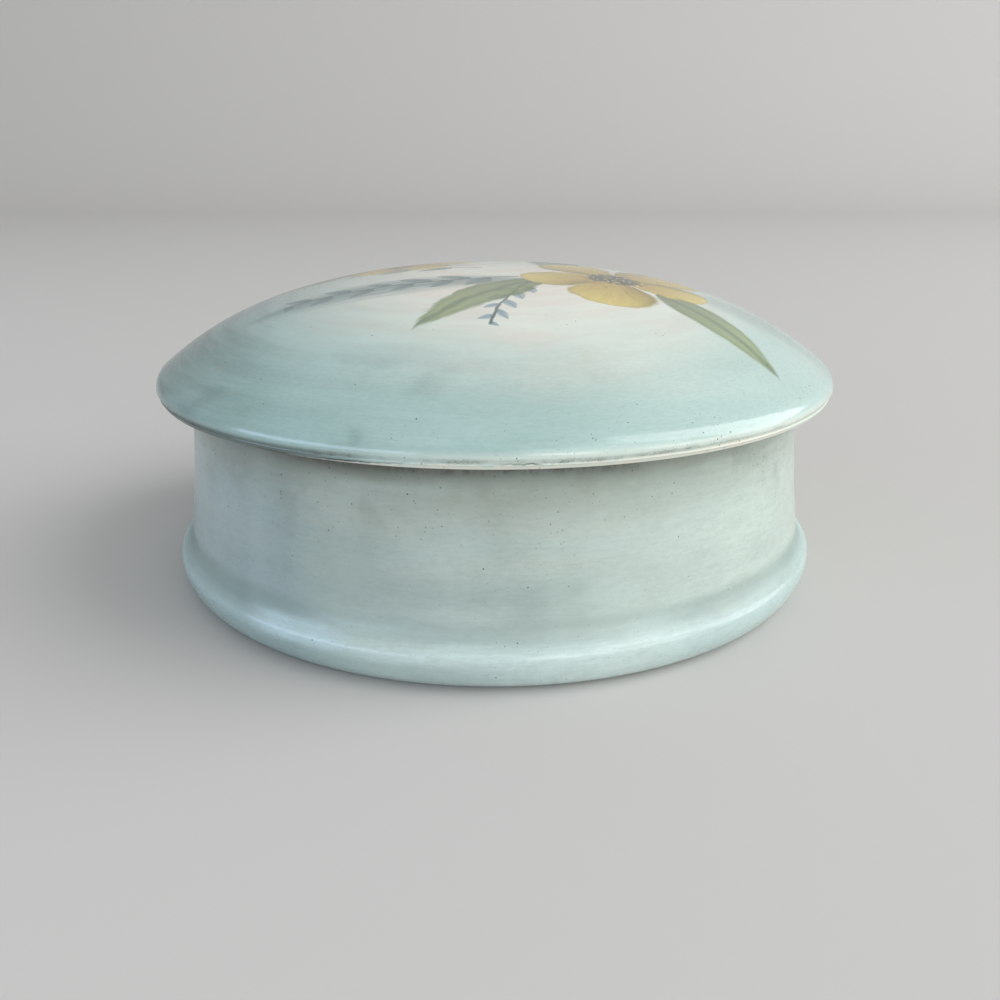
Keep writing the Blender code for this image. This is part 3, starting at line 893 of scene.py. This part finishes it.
def makeLidPaint():
    s = lidPaint
    material, tree, shader, place = startMaterial("lidPaint", s["gloss"])
    where = useGroup(tree, turnedPlace, Place=place)
    wash = useGroup(tree, brushedWash, Round=where["Round"], Seed=5.0)
    x, y, z = split(tree, place)
    level = calc(tree, "SUBTRACT", z, lidShape["low"])
    flat = combine(tree, x, y, 0.0)
    rimward = ramp(tree, where["Radius"], 38 * mm, 50 * mm)
    colour = blendColour(tree, times(tree, wash["Broad"], scaleAdd(tree, rimward, -0.7, 1.0)),
                         s["aqua"], s["pale"])
    colour = layOver(tree, colour, s["deep"], wash["Streak"], 0.12)
    cloud = ramp(tree, noise(tree, place, 62, 3, 0.55, 31.0), 0.52, 0.72)
    lowCloud = times(tree, cloud, rimward)
    colour = layOver(tree, colour, s["deep"], lowCloud, 0.45)
    sideShade = ramp(tree, x, -24 * mm, -53 * mm)
    colour = layOver(tree, colour, s["deep"], sideShade, scaleAdd(tree, wash["Streak"], 0.4, 0.6))
    # Paler towards the right: partly paint, partly painted light from the right.
    colour = layOver(tree, colour, s["pale"], ramp(tree, x, 0.0, 50 * mm), 0.55)
    # Cream glow over the crown, reaching towards the front: partly cream paint, partly painted light.
    away = vectorCalc(tree, "DISTANCE", flat, s["glowCentre"])
    glow = ramp(tree, scaleAdd(tree, wash["Broad"], 8 * mm, away), s["glowReach"], 14 * mm)
    colour = layOver(tree, colour, blendColour(tree, wash["Streak"], s["cream"], s["blush"]), glow)
    colour = layOver(tree, colour, s["pale"], wash["Fine"], 0.07)
    grain = times(tree, wash["Grain"], scaleAdd(tree, rimward, 0.07, 0.04))
    colour = layOver(tree, colour, s["deep"], grain)
    tremble = noise(tree, place, 260, 2, 0.5, 2.2)
    shaken = vectorCalc(tree, "ADD", flat, combine(tree, scaleAdd(tree, tremble, 1.2 * mm, -0.6 * mm),
                                                   scaleAdd(tree, tremble, -1.0 * mm, 0.5 * mm), 0.0))
    colour = paintSpray(tree, colour, shaken)
    edgeBand = times(tree, ramp(tree, level, 2.8 * mm, 1.6 * mm), ramp(tree, x, -30 * mm, 4 * mm))
    colour = layOver(tree, colour, s["edgePale"], edgeBand, 0.8)
    ragged = scaleAdd(tree, noise(tree, place, 900, 3, 0.6, 6.0), 0.5 * mm, level)
    ragged = scaleAdd(tree, noise(tree, place, 95, 2, 0.5, 24.0), 0.9 * mm, ragged)
    worn = ramp(tree, x, -26 * mm, -6 * mm)
    stripTop = scaleAdd(tree, worn, s["stripTop"], 0.66 * mm)
    stripTop = scaleAdd(tree, ramp(tree, x, 8 * mm, 34 * mm), 0.35 * mm, stripTop)
    strip = ramp(tree, ragged, calc(tree, "ADD", stripTop, 0.12 * mm), stripTop)
    patchy = scaleAdd(tree, ramp(tree, noise(tree, place, 420, 3, 0.6, 19.0), 0.34, 0.58), 0.5, 0.5)
    patchy = times(tree, patchy, ramp(tree, x, 48 * mm, 34 * mm, 0.35, 1.0))
    colour = layOver(tree, colour, s["stripClay"], strip, patchy)
    # Painted shade along the low edge on the left.
    shadedLeftEdge = times(tree, ramp(tree, level, 2.0 * mm, 0.8 * mm), ramp(tree, x, -12 * mm, -28 * mm))
    colour = layOver(tree, colour, s["edgeShade"], shadedLeftEdge, 0.8)
    dirtHeight = scaleAdd(tree, noise(tree, place, 48, 2, 0.5, 21.0), 0.7 * mm, level)
    dirtHeight = scaleAdd(tree, ramp(tree, x, 4 * mm, 36 * mm), -0.45 * mm, dirtHeight)
    dirtBand = band(tree, dirtHeight, s["dirtBand"])
    dirtPatches = ramp(tree, noise(tree, place, 110, 3, 0.6, 12.0), 0.38, 0.60)
    dirtBreaks = scaleAdd(tree, ramp(tree, noise(tree, place, 520, 3, 0.65, 9.5), 0.38, 0.58), 0.75, 0.25)
    dirtPatches = times(tree, dirtPatches, dirtBreaks)
    cleaner = ramp(tree, x, 14 * mm, 34 * mm, 1.15, 0.45)
    dirtGrain = scaleAdd(tree, ramp(tree, noise(tree, place, 5200, 2, 0.6, 15.0), 0.40, 0.60), 0.75, 0.25)
    dirt = times(tree, times(tree, dirtBand, dirtPatches), times(tree, dirtGrain, cleaner))
    aboveStrip = calc(tree, "SUBTRACT", ragged, stripTop)
    thinLine = band(tree, aboveStrip, s["lineBand"])
    thinLine = times(tree, thinLine, ramp(tree, noise(tree, place, 85, 2, 0.5, 18.0), 0.46, 0.62))
    thinLine = times(tree, thinLine, cleaner)
    dirt = calc(tree, "MAXIMUM", dirt, thinLine)
    colour = layOver(tree, colour, s["grime"], dirt, 0.85)
    specks = useGroup(tree, glazeSpecks, Place=place, Cell=700.0, Share=0.30, Size=0.062)
    rimSpecks = useGroup(tree, glazeSpecks, Place=place, Cell=1400.0, Share=0.60, Size=0.13)
    speckPatch = ramp(tree, noise(tree, place, 90, 2, 0.5, 41.0), 0.42, 0.66)
    nearRim = times(tree, ramp(tree, level, 8 * mm, 1.5 * mm), speckPatch)
    dots = calc(tree, "MAXIMUM", specks["Mask"], times(tree, rimSpecks["Mask"], nearRim))
    colour = layOver(tree, colour, s["speck"], dots, 0.8)
    plug(tree, shader.inputs["Base Color"], colour)
    dull = calc(tree, "MAXIMUM", times(tree, strip, 0.3), times(tree, dirt, 0.4))
    gloss = scaleAdd(tree, wash["Fine"], 0.05, s["gloss"] - 0.02)
    plug(tree, shader.inputs["Roughness"], calc(tree, "ADD", gloss, dull))
    ripple = useGroup(tree, glazeRipple, Place=place, Round=where["Round"])
    pitted = scaleAdd(tree, dots, -0.3, ripple["Height"])
    raiseSurface(tree, shader, pitted, 0.35, 0.3 * mm)
    return material


def dressFaces(piece, materials, chooser):
    for material in materials:
        piece.data.materials.append(material)
    for face in piece.data.polygons:
        face.material_index = chooser(face.center, face.normal)


def baseFace(place, normal):  # 0 painted wall, 1 plain glaze inside and below, 2 bare foot ring
    radius = math.hypot(place.x, place.y)
    ringOut = baseShape["footRadius"] - baseShape["footRoll"]
    if place.z < 0.15 * mm and ringOut - baseShape["ringWidth"] - 0.1 * mm < radius < ringOut + 0.6 * mm:
        return 2
    outside = radius > wallRadius(max(place.z, baseShape["footShoulder"])) - 0.7 * mm and normal.z < 0.8
    if outside or (place.z < baseShape["footShoulder"] and radius > ringOut):
        return 0
    return 1


def lidFace(place, normal):  # 0 painted dome and edge, 1 plain glaze inside, 2 bare seat
    radius = math.hypot(place.x, place.y)
    level = place.z - lidShape["low"]
    if level < 0.05 * mm and radius > lidShape["skirt"]:
        return 2
    outside = radius > lidShape["radius"] - 2.2 * mm or level > domePoint(radius)[0] - 1 * mm
    return 0 if outside else 1


wallFinish = makeWallPaint()
plainGlaze = makePlainGlaze()
bareClay = makeBareClay()
lidFinish = makeLidPaint()
dressFaces(base, (wallFinish, plainGlaze, bareClay), baseFace)
dressFaces(lid, (lidFinish, plainGlaze, bareClay), lidFace)
print("finishes on")

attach(base, "root")
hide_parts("base")
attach(lid, "root")
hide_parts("lid")


# Studio

studio = {
    "floorColour": srgb(210, 206, 203),
    "floorReach": 1.6,
    "lightTarget": (0, 0, 0.03),
    "sky": srgb(232, 238, 240),
    "skyStrength": 0.54,
}


def makeFloor():
    s = studio
    startClean()
    bpy.ops.mesh.primitive_plane_add(size=s["floorReach"] * 2, location=(0, 0, 0))
    floor = bpy.context.object
    floor.name = "studioFloor"
    bpy.ops.object.mode_set(mode="EDIT")
    bpy.ops.mesh.select_mode(type="EDGE")
    bpy.ops.mesh.select_all(action="DESELECT")
    shape = bmesh.from_edit_mesh(floor.data)
    for edge in shape.edges:
        edge.select_set(all(vert.co.y > 0 for vert in edge.verts))
    bmesh.update_edit_mesh(floor.data)
    bpy.ops.mesh.extrude_edges_move(TRANSFORM_OT_translate={"value": (0, 0, s["floorReach"])})
    bpy.ops.mesh.select_all(action="DESELECT")
    shape = bmesh.from_edit_mesh(floor.data)
    for edge in shape.edges:
        edge.select_set(all(vert.co.y > 0 and abs(vert.co.z) < 0.01 for vert in edge.verts))
    bmesh.update_edit_mesh(floor.data)
    bpy.ops.mesh.bevel(offset=0.5, segments=16, affect="EDGES")
    bpy.ops.mesh.select_all(action="SELECT")
    bpy.ops.mesh.normals_make_consistent(inside=False)
    bpy.ops.object.mode_set(mode="OBJECT")
    bpy.ops.object.shade_smooth()
    material, tree, shader, place = startMaterial("paleFloor", 0.9)
    mottle = noise(tree, place, 9, 3, 0.5, 1.0)
    colour = blendColour(tree, times(tree, mottle, 0.06), s["floorColour"], srgb(190, 188, 186))
    plug(tree, shader.inputs["Base Color"], colour)
    floor.data.materials.append(material)


def aimAt(thing, target):
    thing.rotation_euler = (Vector(target) - thing.location).to_track_quat("-Z", "Y").to_euler()


def softLight(name, azimuth, elevation, distance, width, height, power, colour, roll=0):
    # degrees: azimuth from the camera's side (-Y) to the right, roll on the light's own face
    target = studio["lightTarget"]
    data = bpy.data.lights.new(name, "AREA")
    data.shape = "RECTANGLE"
    data.size = width
    data.size_y = height
    data.energy = power
    data.color = colour[:3]
    light = bpy.data.objects.new(name, data)
    around, up = math.radians(azimuth), math.radians(elevation)
    light.location = (distance * math.sin(around) * math.cos(up),
                      -distance * math.cos(around) * math.cos(up),
                      distance * math.sin(up) + target[2])
    aimAt(light, target)
    light.rotation_euler.rotate_axis("Z", math.radians(roll))
    bpy.context.scene.collection.objects.link(light)


makeFloor()
softLight("windowRight", 38, 21, 1.8, 1.70, 1.20, 9.0, srgb(255, 253, 248))
softLight("windowBack", 87, 32, 1.8, 1.25, 2.40, 25.5, srgb(252, 254, 255), roll=32)
softLight("lowRight", 66, 4, 1.8, 1.20, 0.30, 2.4, srgb(255, 253, 248))
softLight("doorFront", 20, 8, 1.0, 0.35, 0.20, 0.6, srgb(255, 252, 246))
softLight("skyLeft", -55, 8, 1.0, 1.20, 0.22, 3.0, srgb(200, 222, 255))

world = bpy.data.worlds.new("studioWorld")
bpy.context.scene.world = world
world.use_nodes = True
world.node_tree.nodes["Background"].inputs["Color"].default_value = studio["sky"]
world.node_tree.nodes["Background"].inputs["Strength"].default_value = studio["skyStrength"]

camera = {
    "place": (0.9 * mm, -176.2 * mm, 70.6 * mm),
    "pitch": 19.18,
    "lens": 36.0,
}
eyeData = bpy.data.cameras.new("photoCamera")
eyeData.sensor_width = 36.0
eyeData.lens = camera["lens"]
eyeData.clip_start = 0.01
eye = bpy.data.objects.new("photoCamera", eyeData)
eye.location = camera["place"]
eye.rotation_euler = (math.radians(90 - camera["pitch"]), 0, 0)
bpy.context.scene.collection.objects.link(eye)
bpy.context.scene.camera = eye
bpy.context.scene.view_settings.view_transform = "Standard"
print("studio lit")
